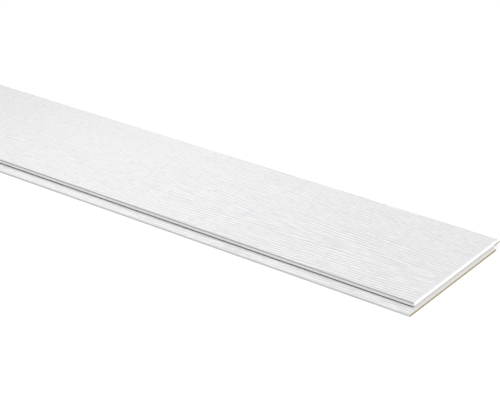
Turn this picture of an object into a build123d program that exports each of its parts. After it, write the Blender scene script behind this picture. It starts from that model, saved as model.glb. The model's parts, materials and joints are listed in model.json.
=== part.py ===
"""A decorative wall and ceiling panel: one board with tongue-and-groove joints, in millimetres.

The board lies face up. X runs along its length, Y across its width and Z up from its back.
A groove with a projecting back lip runs along the -Y edge and the +X end.
A tongue over a matching recess runs along the +Y edge and the -X end.
The face is bevelled all round, so that two joined panels leave a V between them.
"""

import os

from build123d import *

# Driving dimensions of the board
cover_length = 1300.0  # pitch of panels joined end to end
cover_width = 200.0  # pitch of panels joined side by side
thickness = 10.0
edge_bevel_width = 1.9  # of the shallow bevel along the long edges of the face
edge_bevel_depth = 1.05
end_bevel = 2.1  # width and depth of the bevel across the ends of the face

# Driving dimensions of the joints
face_lip = 3.9  # board left above a groove
back_lip = 3.1  # board left below a groove
groove_depth = 6.0  # of the groove along the long edge
end_groove_depth = 3.0  # of the groove across the end
tongue_play = 0.15  # gap above and below a tongue in its groove
tip_play = 0.6  # gap between the tip of a tongue and the bottom of its groove
tongue_chamfer = 0.6  # lead-in on the tip of a tongue
fixing_lip = 14.0  # how far the back lip stands out of the long edge, for clips or staples
end_lip = 2.6  # how far the back lip stands out of the end
lip_play = 0.3  # gap between a back lip and the recess that takes it
lip_round = 0.4  # rounding along the outer edges of a back lip

# The tongue fits the groove of the next panel: heights are from the back of the board
groove_roof = thickness - face_lip
tongue_top = groove_roof - tongue_play
tongue_bottom = back_lip + tongue_play


def joint_section(plane, cover, lip, depth, bevel_width, bevel_depth):
    """The board cut through from its groove edge to its tongue edge, which are cover apart.

    The groove is depth deep and the back lip stands out by lip.
    """
    groove_edge = -cover / 2
    tongue_edge = cover / 2
    tongue_tip = tongue_edge + depth - tip_play
    lip_tip = groove_edge - lip
    recess_wall = tongue_edge - lip - lip_play
    with BuildSketch(plane) as section:
        with BuildLine():
            Polyline(
                (lip_tip, 0),
                (lip_tip, back_lip),
                (groove_edge + depth, back_lip),
                (groove_edge + depth, groove_roof),
                (groove_edge, groove_roof),
                (groove_edge, thickness - bevel_depth),
                (groove_edge + bevel_width, thickness),
                (tongue_edge - bevel_width, thickness),
                (tongue_edge, thickness - bevel_depth),
                (tongue_edge, tongue_top),
                (tongue_tip, tongue_top),
                (tongue_tip, tongue_bottom),
                (recess_wall, tongue_bottom),
                (recess_wall, 0),
                close=True,
            )
        make_face()
        across = section.vertices().group_by(Axis.X)
        fillet(across[0], radius=lip_round)
        chamfer(across[-1], length=tongue_chamfer)
    return section.sketch


# The long edges are milled along the board and the ends across it, each past the outermost joint
end_to_end = Plane(origin=(0, 0, 0), x_dir=(-1, 0, 0), z_dir=(0, 1, 0))
across_width = joint_section(
    Plane.YZ, cover_width, fixing_lip, groove_depth, edge_bevel_width, edge_bevel_depth
)
along_length = joint_section(
    end_to_end, cover_length, end_lip, end_groove_depth, end_bevel, end_bevel
)
half_length = cover_length / 2 + end_lip + end_groove_depth
half_width = cover_width / 2 + fixing_lip + groove_depth

with BuildPart() as panel:
    extrude(across_width, amount=half_length, both=True)
    extrude(along_length, amount=half_width, both=True, mode=Mode.INTERSECT)

panel.part.label = "panel"
os.makedirs("parts", exist_ok=True)
export_step(panel.part, "parts/panel.step")
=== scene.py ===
import json
from math import cos, hypot, pi, radians, sin

import bmesh
import bpy
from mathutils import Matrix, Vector, noise


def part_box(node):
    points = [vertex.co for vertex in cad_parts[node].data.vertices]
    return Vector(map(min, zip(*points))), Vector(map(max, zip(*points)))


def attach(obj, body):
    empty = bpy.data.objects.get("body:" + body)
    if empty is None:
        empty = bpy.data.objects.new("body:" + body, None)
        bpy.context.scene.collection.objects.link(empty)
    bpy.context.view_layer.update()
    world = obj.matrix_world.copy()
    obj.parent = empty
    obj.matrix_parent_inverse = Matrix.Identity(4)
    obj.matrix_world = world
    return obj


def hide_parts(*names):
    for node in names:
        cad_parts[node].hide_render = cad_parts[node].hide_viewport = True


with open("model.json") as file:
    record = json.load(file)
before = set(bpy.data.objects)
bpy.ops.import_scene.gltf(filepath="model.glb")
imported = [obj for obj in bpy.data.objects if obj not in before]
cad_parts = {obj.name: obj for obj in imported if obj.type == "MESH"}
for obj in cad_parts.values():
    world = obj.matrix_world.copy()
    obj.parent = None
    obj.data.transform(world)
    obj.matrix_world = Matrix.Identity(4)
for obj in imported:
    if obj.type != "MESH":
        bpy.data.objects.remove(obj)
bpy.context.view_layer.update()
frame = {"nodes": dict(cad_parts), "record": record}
scene = bpy.context.scene

# places on the panel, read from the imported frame, in metres
panelLow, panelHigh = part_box("panel")
mountAt = {m["name"]: Vector(m["pos_m"]) for m in frame["record"]["mounts"]}
spaceAt = {o["name"]: o["box_m"] for o in frame["record"]["physics"]["openings"]}
faceTop = panelHigh.z
edgeY = abs(mountAt["long_groove"].y)  # half the cover width
endX = abs(mountAt["end_groove"].x)  # half the cover length
lipTop = mountAt["fixing_lip"].z
lipEnd = spaceAt["long_recess"][0][1]  # how far across the width the back lip of the end goes
jointMiddle = mountAt["long_groove"].z  # half way up the grooves and tongues
aboveGroove = jointMiddle + lipTop / 2  # just over the roofs of the grooves
grooveDepth = 0.0062  # a little more than the long groove goes in
sameSpot = 1e-6  # points nearer than this are one
sameLevel = 1e-5  # faces nearer than this lie in one plane
sameFinish = 1e-4  # faces nearer than this to a level get its finish, as the top of a lip's rounding does
print("frame loaded, panel of", [round(s * 1000, 1) for s in panelHigh - panelLow], "mm")


# node helpers

def addNode(tree, kind, given=None, **settings):
    node = tree.nodes.new(kind)
    for key, value in settings.items():
        setattr(node, key, value)
    for key, value in (given or {}).items():
        if isinstance(value, bpy.types.NodeSocket):
            tree.links.new(value, node.inputs[key])
        else:
            node.inputs[key].default_value = value
    return node


def mixColors(tree, share, first, second):
    # sockets 6 and 7 are the colours of a Mix node, after its numbers and vectors
    node = addNode(tree, "ShaderNodeMix", {0: share, 6: first, 7: second}, data_type="RGBA")
    return node.outputs[2]


def noiseField(tree, cells, detail):
    # cells is how many noise cells a metre holds along X, Y and Z
    place = addNode(tree, "ShaderNodeTexCoord")
    stretch = addNode(tree, "ShaderNodeMapping", {"Vector": place.outputs["Object"], "Scale": cells})
    field = addNode(tree, "ShaderNodeTexNoise", {
        "Vector": stretch.outputs["Vector"], "Scale": 1.0, "Detail": detail})
    return field.outputs["Fac"]


def remap(tree, value, fromLow, fromHigh, toLow, toHigh):
    return addNode(tree, "ShaderNodeMapRange", {
        "Value": value, "From Min": fromLow, "From Max": fromHigh,
        "To Min": toLow, "To Max": toHigh}).outputs["Result"]


def newGroup(name, inputs, outputs):
    group = bpy.data.node_groups.new(name, "ShaderNodeTree")
    for label, kind, value in inputs:
        socket = group.interface.new_socket(name=label, in_out="INPUT", socket_type=kind)
        socket.default_value = value
    for label, kind in outputs:
        group.interface.new_socket(name=label, in_out="OUTPUT", socket_type=kind)
    return group, group.nodes.new("NodeGroupInput"), group.nodes.new("NodeGroupOutput")


# a tint that drifts a little towards another one, in soft patches
cloudSettings = {"cells": (7, 16, 16), "detail": 3.0}


def makeCloudyTint():
    group, given, made = newGroup(
        "cloudyTint",
        [("Tint", "NodeSocketColor", (0.8, 0.8, 0.8, 1)),
         ("Drift", "NodeSocketColor", (0.7, 0.7, 0.7, 1)),
         ("Amount", "NodeSocketFloat", 0.5)],
        [("Color", "NodeSocketColor")])
    clouds = noiseField(group, cloudSettings["cells"], cloudSettings["detail"])
    share = remap(group, clouds, 0.3, 0.7, 0.0, given.outputs["Amount"])
    color = mixColors(group, share, given.outputs["Tint"], given.outputs["Drift"])
    group.links.new(color, made.inputs["Color"])
    return group


# pressed wood fibres: short pale and dark flecks, and the rough surface that they leave
fibreSettings = {
    "flecks": (420, 620, 1500), "fleckDetail": 4.0, "fleckShade": (0.16, 0.11, 0.06, 1),
    "dust": (2600, 2600, 2600), "dustDetail": 2.0, "dustTint": (0.78, 0.72, 0.6, 1),
}


def makeFibreFlecks():
    s = fibreSettings
    group, given, made = newGroup(
        "fibreFlecks",
        [("Color", "NodeSocketColor", (0.5, 0.42, 0.3, 1)),
         ("Contrast", "NodeSocketFloat", 0.3)],
        [("Color", "NodeSocketColor"), ("Height", "NodeSocketFloat")])
    flecks = noiseField(group, s["flecks"], s["fleckDetail"])
    dust = noiseField(group, s["dust"], s["dustDetail"])
    darker = remap(group, flecks, 0.35, 0.65, given.outputs["Contrast"], 0.0)
    shaded = mixColors(group, darker, given.outputs["Color"], s["fleckShade"])
    paler = remap(group, dust, 0.55, 0.8, 0.0, given.outputs["Contrast"])
    color = mixColors(group, paler, shaded, s["dustTint"])
    height = addNode(group, "ShaderNodeMath", {0: flecks, 1: dust}, operation="ADD").outputs["Value"]
    group.links.new(color, made.inputs["Color"])
    group.links.new(height, made.inputs["Height"])
    return group


cloudyTint = makeCloudyTint()
fibreFlecks = makeFibreFlecks()


def newMaterial(name, roughness):
    material = bpy.data.materials.new(name)
    material.use_nodes = True
    tree = material.node_tree
    shader = tree.nodes["Principled BSDF"]
    shader.inputs["Roughness"].default_value = roughness
    return material, tree, shader


def addTint(tree, tint, drift, amount):
    given = {"Tint": tint, "Drift": drift, "Amount": amount}
    return addNode(tree, "ShaderNodeGroup", given, node_tree=cloudyTint).outputs["Color"]


def addBump(tree, shader, height, depth, strength):
    bump = addNode(tree, "ShaderNodeBump", {"Height": height, "Distance": depth, "Strength": strength})
    tree.links.new(bump.outputs["Normal"], shader.inputs["Normal"])


# white foil, matt, with painted shade where the grain is pressed in and in short pores along the board
foilSettings = {
    "white": (0.92, 0.92, 0.925, 1), "drift": (0.89, 0.89, 0.90, 1), "driftAmount": 0.6,
    # painted shade in the pressed grain, and how much of it the deepest pressing gets
    "grainPaintedShade": (0.64, 0.64, 0.655, 1), "grainShadeAmount": 0.85,
    # painted shade in the pores, and where the pore noise starts and fills it
    "porePaintedShade": (0.70, 0.70, 0.715, 1), "poreShadeAmount": 0.9, "poreEdge": 0.5, "poreCore": 0.25,
    "pores": (110, 400, 400), "poreDetail": 1.0, "poreDepth": 0.00006, "poreBump": 0.5,
    "roughness": 0.6, "rougher": 0.1, "smoother": 0.05,  # rougher in the pores, smoother beside them
    "gloss": 0.15,
}


def makeFoil():
    s = foilSettings
    material, tree, shader = newMaterial("embossedFoil", s["roughness"])
    shader.inputs["Specular IOR Level"].default_value = s["gloss"]
    tint = addTint(tree, s["white"], s["drift"], s["driftAmount"])
    pressed = addNode(tree, "ShaderNodeAttribute", attribute_name="pressed").outputs["Fac"]
    # painted shade, darker where the grain is pressed further in
    grainShadeShare = remap(tree, pressed, 0.0, 1.0, 0.0, s["grainShadeAmount"])
    grainShadedColor = mixColors(tree, grainShadeShare, tint, s["grainPaintedShade"])
    pores = noiseField(tree, s["pores"], s["poreDetail"])
    # painted shade in the pores
    poreShadeShare = remap(tree, pores, s["poreEdge"], s["poreCore"], 0.0, s["poreShadeAmount"])
    color = mixColors(tree, poreShadeShare, grainShadedColor, s["porePaintedShade"])
    tree.links.new(color, shader.inputs["Base Color"])
    roughest, smoothest = s["roughness"] + s["rougher"], s["roughness"] - s["smoother"]
    tree.links.new(remap(tree, pores, 0.3, 0.7, roughest, smoothest), shader.inputs["Roughness"])
    addBump(tree, shader, pores, s["poreDepth"], s["poreBump"])
    return material


# bright white paint on the end bevels, on the lip of the end and on the floors of the grooves
paintSettings = {
    "tint": (0.89, 0.89, 0.89, 1), "drift": (0.865, 0.865, 0.86, 1), "driftAmount": 0.5,
    "peel": (500, 500, 500), "peelDepth": 0.00003, "peelBump": 0.4, "roughness": 0.45,
}
# grey on the upright strips under the end bevels: painted shade, darker than the lit white bevels over
# them
endStripShadeSettings = {
    "tint": (0.66, 0.66, 0.655, 1), "drift": (0.61, 0.605, 0.59, 1), "driftAmount": 0.7,
    "peel": (700, 700, 700), "peelDepth": 0.00005, "peelBump": 0.4, "roughness": 0.6,
}
# grey on the long bevels, on the groove roofs and on the wall of the long groove: painted shade, standing
# in for the shade these faces lie in
paintedShadeSettings = {
    "tint": (0.36, 0.36, 0.37, 1), "drift": (0.32, 0.32, 0.33, 1), "driftAmount": 0.6,
    "peel": (300, 900, 900), "peelDepth": 0.00002, "peelBump": 0.4, "roughness": 0.5,
}


def makePaint(name, s):
    material, tree, shader = newMaterial(name, s["roughness"])
    tint = addTint(tree, s["tint"], s["drift"], s["driftAmount"])
    tree.links.new(tint, shader.inputs["Base Color"])
    addBump(tree, shader, noiseField(tree, s["peel"], 1.0), s["peelDepth"], s["peelBump"])
    return material


# milled fibreboard, bare on the tongues, in the recesses, at the ends of the lips and at a far corner,
# where it also stands in for the shade in the opening under that corner
boardSettings = {
    "tan": (0.50, 0.44, 0.28, 1), "drift": (0.44, 0.37, 0.22, 1), "driftAmount": 0.6,
    "contrast": 0.3, "fibreDepth": 0.00012, "fibreBump": 0.6, "roughness": 0.9,
}
# sanded back of the board, a little darker and flatter than its milled edges
backSettings = {
    "tan": (0.40, 0.32, 0.21, 1), "drift": (0.33, 0.26, 0.17, 1), "driftAmount": 0.8,
    "contrast": 0.45, "fibreDepth": 0.00005, "fibreBump": 0.6, "roughness": 0.8,
}


def makeFibreboard(name, s):
    material, tree, shader = newMaterial(name, s["roughness"])
    tint = addTint(tree, s["tan"], s["drift"], s["driftAmount"])
    given = {"Color": tint, "Contrast": s["contrast"]}
    fibres = addNode(tree, "ShaderNodeGroup", given, node_tree=fibreFlecks)
    tree.links.new(fibres.outputs["Color"], shader.inputs["Base Color"])
    addBump(tree, shader, fibres.outputs["Height"], s["fibreDepth"], s["fibreBump"])
    return material


finishes = [
    makeFoil(),
    makePaint("endPaint", paintSettings),
    makePaint("endStripShade", endStripShadeSettings),
    makePaint("paintedShadeGrey", paintedShadeSettings),
    makeFibreboard("milledBoard", boardSettings),
    makeFibreboard("sandedBack", backSettings),
]
foil, endPaint, endStripShade, paintedShadeGrey, milledBoard, sandedBack = range(len(finishes))
print("finishes made:", [m.name for m in finishes])


# wood grain pressed into the face: growth lines in long arches with their tips towards the groove end
grainSettings = {
    "heart": -0.031, "tipRound": 0.006,  # the line of the tips across the width, and how blunt they are
    "close": 0.055, "wave": 0.0016, "waveFrom": 0.38, "waveEvery": 0.3,  # how fast the sides close in
    "pitch": 0.0052, "sway": 0.5, "swayAlong": 0.1, "swayAcross": 0.016,
    "mirrorApart": 0.03,  # keeps the two sides of the heart from being mirror images
    "ringShare": 0.55, "streakShare": 0.35,
    "streakAlong": 0.022, "streakAcross": 0.0021, "streakLayer": 7.0,
    "nearStrength": 1.6, "farStrength": 0.7,  # at the groove edge and at the tongue edge
    "swellFrom": 0.5, "swellEvery": 0.9, "swell": 0.3,  # the grain comes and goes along the board
    "patch": 0.8, "patchSwing": 0.8, "patchAlong": 0.09, "patchAcross": 0.025, "patchLayer": 3.0,
    "plain": 0.5,  # share of pressing, and so of painted grain shade, where no grain is pressed
    "depth": 0.00014,
}


def grainDepth(x, y):
    # how far the foil is pressed in at a point, as a share of the full depth
    g = grainSettings
    away = hypot(y - g["heart"], g["tipRound"])
    line = away + g["close"] * x
    line += g["wave"] * sin(2 * pi * (x - g["waveFrom"]) / g["waveEvery"])
    side = y / g["mirrorApart"]
    sway = noise.noise((x / g["swayAlong"], line / g["swayAcross"], side))
    ring = sin(2 * pi * (line / g["pitch"] + g["sway"] * sway))
    ring *= ((y - g["heart"]) / away) ** 2  # faint at the tips of the arches
    clouds = noise.noise((x / g["patchAlong"], y / g["patchAcross"], g["patchLayer"]))
    patch = min(1.0, g["patch"] + g["patchSwing"] * clouds)
    streak = noise.noise((x / g["streakAlong"], line / g["streakAcross"], side + g["streakLayer"]))
    across = (y + edgeY) / (2 * edgeY)
    strength = g["nearStrength"] + (g["farStrength"] - g["nearStrength"]) * across
    strength *= 1 - g["swell"] * (1 - cos(2 * pi * (x - g["swellFrom"]) / g["swellEvery"]))
    pressed = g["plain"] + strength * (g["ringShare"] * ring * patch + g["streakShare"] * streak)
    return min(1.0, max(0.0, pressed))


# the board itself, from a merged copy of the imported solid
panelSettings = {
    "cornerRound": 0.00022, "cornerSegments": 2, "cornerFrom": 25,  # turns of more degrees than this
    "rim": 0.0006,  # plain border between the grain and the corners
    "cellAlong": 0.008, "cellAcross": 0.00055, "lipCellAcross": 0.0006,
}


def finishOf(face):
    middle = face.calc_center_median()
    facing = face.normal
    alongEdge = abs(facing.x) < 0.5
    if facing.z < -0.9:
        if middle.z < lipTop / 2:
            return sandedBack
        # roofs of the grooves: grey painted shade
        return paintedShadeGrey if middle.z > jointMiddle else milledBoard
    if facing.z > 0.9:
        if middle.z > faceTop - sameFinish or middle.y < -edgeY:
            return foil
        return endPaint if abs(middle.z - lipTop) < sameFinish else milledBoard
    # the bevels round the face and the upright strips under them
    inCover = abs(middle.y) < edgeY + sameLevel and abs(middle.x) < endX + sameLevel
    if inCover and middle.z > aboveGroove:
        if facing.z > 0.5:
            # long bevels: grey painted shade; end bevels: white paint
            return paintedShadeGrey if alongEdge else endPaint
        if alongEdge:
            return foil
        # upright end strips: grey painted shade, and bare board past the back lip
        return endStripShade if middle.y < lipEnd else milledBoard
    # the front of the long lip and the wall of the long groove
    if alongEdge and middle.y < -edgeY + grooveDepth:
        # wall of the long groove: grey painted shade
        return foil if middle.y < -edgeY else paintedShadeGrey
    return milledBoard


def splitAcross(bm, faces, y):
    # cuts these faces, and no others, in a line along the board
    parts = list(faces)
    parts += {e for f in faces for e in f.edges}
    parts += {v for f in faces for v in f.verts}
    bmesh.ops.bisect_plane(bm, geom=parts, dist=sameSpot, plane_co=(0, y, 0), plane_no=(0, 1, 0))


def faceAt(bm, height, x, y):
    for face in bm.faces:
        if face.normal.z > 0.99 and abs(face.calc_center_median().z - height) < sameLevel:
            if bmesh.geometry.intersect_face_point(face, Vector((x, y, height))):
                return face
    return None


def gridFace(bm, face, along, across, rim):
    # leaves a rim round the face and cuts its middle into cells, then returns the vertices there
    bmesh.ops.inset_individual(bm, faces=[face], thickness=rim, use_even_offset=True)
    height = face.verts[0].co.z
    low = [min(v.co[i] for v in face.verts) for i in range(2)]
    high = [max(v.co[i] for v in face.verts) for i in range(2)]

    def within(vert):
        if abs(vert.co.z - height) > sameSpot:
            return False
        return all(low[i] - sameSpot < vert.co[i] < high[i] + sameSpot for i in range(2))

    for axis, cell in ((0, along), (1, across)):
        span = high[axis] - low[axis]
        edges = [e for e in bm.edges if all(within(v) for v in e.verts)
                 and abs(e.verts[0].co[axis] - e.verts[1].co[axis]) > span / 2]
        bmesh.ops.subdivide_edges(bm, edges=edges, cuts=round(span / cell) - 1, use_grid_fill=True)
    return [v for v in bm.verts if within(v)], low, high


def pressGrain(pressed, verts, low, high):
    for v in verts:
        if all(low[i] + sameSpot < v.co[i] < high[i] - sameSpot for i in range(2)):
            v[pressed] = grainDepth(v.co.x, v.co.y)
            v.co.z -= grainSettings["depth"] * v[pressed]
    for face in {f for v in verts for f in v.link_faces}:
        face.smooth = True


def makeBoard():
    s = panelSettings
    bm = bmesh.new()
    bm.from_mesh(frame["nodes"]["panel"].data)
    bmesh.ops.remove_doubles(bm, verts=bm.verts[:], dist=sameSpot)
    bmesh.ops.dissolve_limit(bm, angle_limit=radians(1), verts=bm.verts[:], edges=bm.edges[:])
    # the lip along the edge and the floors of the grooves are one plane, cut apart here
    lipFaces = [f for f in bm.faces if f.normal.z > 0.99
                and abs(f.calc_center_median().z - lipTop) < sameLevel]
    splitAcross(bm, lipFaces, -edgeY)
    # the painted shade on the upright end strip stops where its back lip does; past it the strip is bare
    # board, which also stands in for the shade in the opening there
    endFaces = [f for f in bm.faces if f.normal.x > 0.99
                and f.calc_center_median().z > aboveGroove]
    splitAcross(bm, endFaces, lipEnd)
    for face in bm.faces:
        face.material_index = finishOf(face)
    corners = [e for e in bm.edges if e.is_manifold
               and e.calc_face_angle_signed() > radians(s["cornerFrom"])]
    rounded = bmesh.ops.bevel(
        bm, geom=corners, offset=s["cornerRound"], segments=s["cornerSegments"], profile=0.5,
        affect="EDGES", material=-1, clamp_overlap=True)
    for face in rounded["faces"]:
        face.smooth = True
    pressed = bm.verts.layers.float.new("pressed")
    for v in bm.verts:
        v[pressed] = grainSettings["plain"]
    top = faceAt(bm, faceTop, 0, 0)
    pressGrain(pressed, *gridFace(bm, top, s["cellAlong"], s["cellAcross"], s["rim"]))
    lip = faceAt(bm, lipTop, 0, (panelLow.y - edgeY) / 2)
    pressGrain(pressed, *gridFace(bm, lip, s["cellAlong"], s["lipCellAcross"], s["rim"]))
    mesh = bpy.data.meshes.new("panelBoard")
    bm.to_mesh(mesh)
    bm.free()
    for finish in finishes:
        mesh.materials.append(finish)
    board = bpy.data.objects.new("panelBoard", mesh)
    scene.collection.objects.link(board)
    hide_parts("panel")
    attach(board, "root")
    return board


board = makeBoard()
board.data.calc_loop_triangles()
print("board made,", len(board.data.loop_triangles), "triangles")


def seenRays(tree):
    # one for the rays that see the background, straight or in a reflection, and zero for its light
    path = addNode(tree, "ShaderNodeLightPath")
    seen = path.outputs["Is Camera Ray"]
    for ray in ("Is Glossy Ray", "Is Transmission Ray"):
        either = addNode(tree, "ShaderNodeMath", {0: seen, 1: path.outputs[ray]}, operation="MAXIMUM")
        seen = either.outputs["Value"]
    return seen


# white floor that keeps the soft shadow of the board, and throws little light back at it
floorSettings = {
    "reach": 20.0, "drop": 0.00005, "roughness": 0.9,
    "seen": (0.8, 0.8, 0.8, 1), "lift": 0.3, "bounce": (0.3, 0.3, 0.3, 1),
}


def makeFloor():
    s = floorSettings
    bm = bmesh.new()
    bmesh.ops.create_grid(bm, x_segments=1, y_segments=1, size=s["reach"])
    bmesh.ops.translate(bm, verts=bm.verts[:], vec=(0, 0, panelLow.z - s["drop"]))
    mesh = bpy.data.meshes.new("studioFloor")
    bm.to_mesh(mesh)
    bm.free()
    floor = bpy.data.objects.new("studioFloor", mesh)
    scene.collection.objects.link(floor)
    material, tree, shader = newMaterial("floorWhite", s["roughness"])
    shader.inputs["Specular IOR Level"].default_value = 0.0
    shader.inputs["Emission Color"].default_value = (1, 1, 1, 1)
    seen = seenRays(tree)
    tree.links.new(mixColors(tree, seen, s["bounce"], s["seen"]), shader.inputs["Base Color"])
    tree.links.new(remap(tree, seen, 0.0, 1.0, 0.0, s["lift"]), shader.inputs["Emission Strength"])
    mesh.materials.append(material)


makeFloor()


# light: a bright white room, a large soft lamp to the right of the camera, and a weak one over the board
lightSettings = {
    "room": 0.43,
    "lamps": {
        "rightLamp": {
            "aim": (0.3, 0, 0), "azimuth": -32, "height": 40, "distance": 12.0,
            "size": 3.8, "power": 1180,
        },
        "highLamp": {
            "aim": (0.12, 0, 0), "azimuth": -90, "height": 88, "distance": 0.5,
            "size": 0.35, "power": 0.48,
        },
    },
}


def makeLamp(name, s):
    lamp = bpy.data.lights.new(name, "AREA")
    lamp.shape = "DISK"
    lamp.size = s["size"]
    lamp.energy = s["power"]
    holder = bpy.data.objects.new(name, lamp)
    scene.collection.objects.link(holder)
    turn, rise = radians(s["azimuth"]), radians(s["height"])
    towards = Vector((cos(rise) * cos(turn), cos(rise) * sin(turn), sin(rise)))
    holder.location = Vector(s["aim"]) + towards * s["distance"]
    holder.rotation_euler = towards.to_track_quat("Z", "Y").to_euler()


def makeLight():
    s = lightSettings
    world = bpy.data.worlds.new("studioRoom")
    world.use_nodes = True
    tree = world.node_tree
    room = tree.nodes["Background"]
    room.inputs["Color"].default_value = (1, 1, 1, 1)
    strength = remap(tree, seenRays(tree), 0.0, 1.0, s["room"], 1.0)
    tree.links.new(strength, room.inputs["Strength"])
    scene.world = world
    for name, lamp in s["lamps"].items():
        makeLamp(name, lamp)


makeLight()
print("floor and light made")


# camera: a long lens that looks down along the board from beside its groove end
cameraSettings = {
    "lens": 112.99, "sensor": 36.0, "azimuth": 36.78, "pitch": 25.929, "distance": 2.0212,
    "aimFromEnd": 0.311, "aimAcross": 0.0039,
}


def makeCamera():
    s = cameraSettings
    camera = bpy.data.cameras.new("photoCamera")
    camera.lens = s["lens"]
    camera.sensor_width = s["sensor"]
    camera.sensor_fit = "HORIZONTAL"
    holder = bpy.data.objects.new("photoCamera", camera)
    scene.collection.objects.link(holder)
    turn, fall = radians(s["azimuth"]), radians(s["pitch"])
    back = Vector((sin(turn) * cos(fall), -cos(turn) * cos(fall), sin(fall)))
    aim = Vector((endX - s["aimFromEnd"], s["aimAcross"], faceTop))
    holder.location = aim + back * s["distance"]
    holder.rotation_euler = back.to_track_quat("Z", "Y").to_euler()
    scene.camera = holder


makeCamera()
scene.view_settings.view_transform = "Standard"
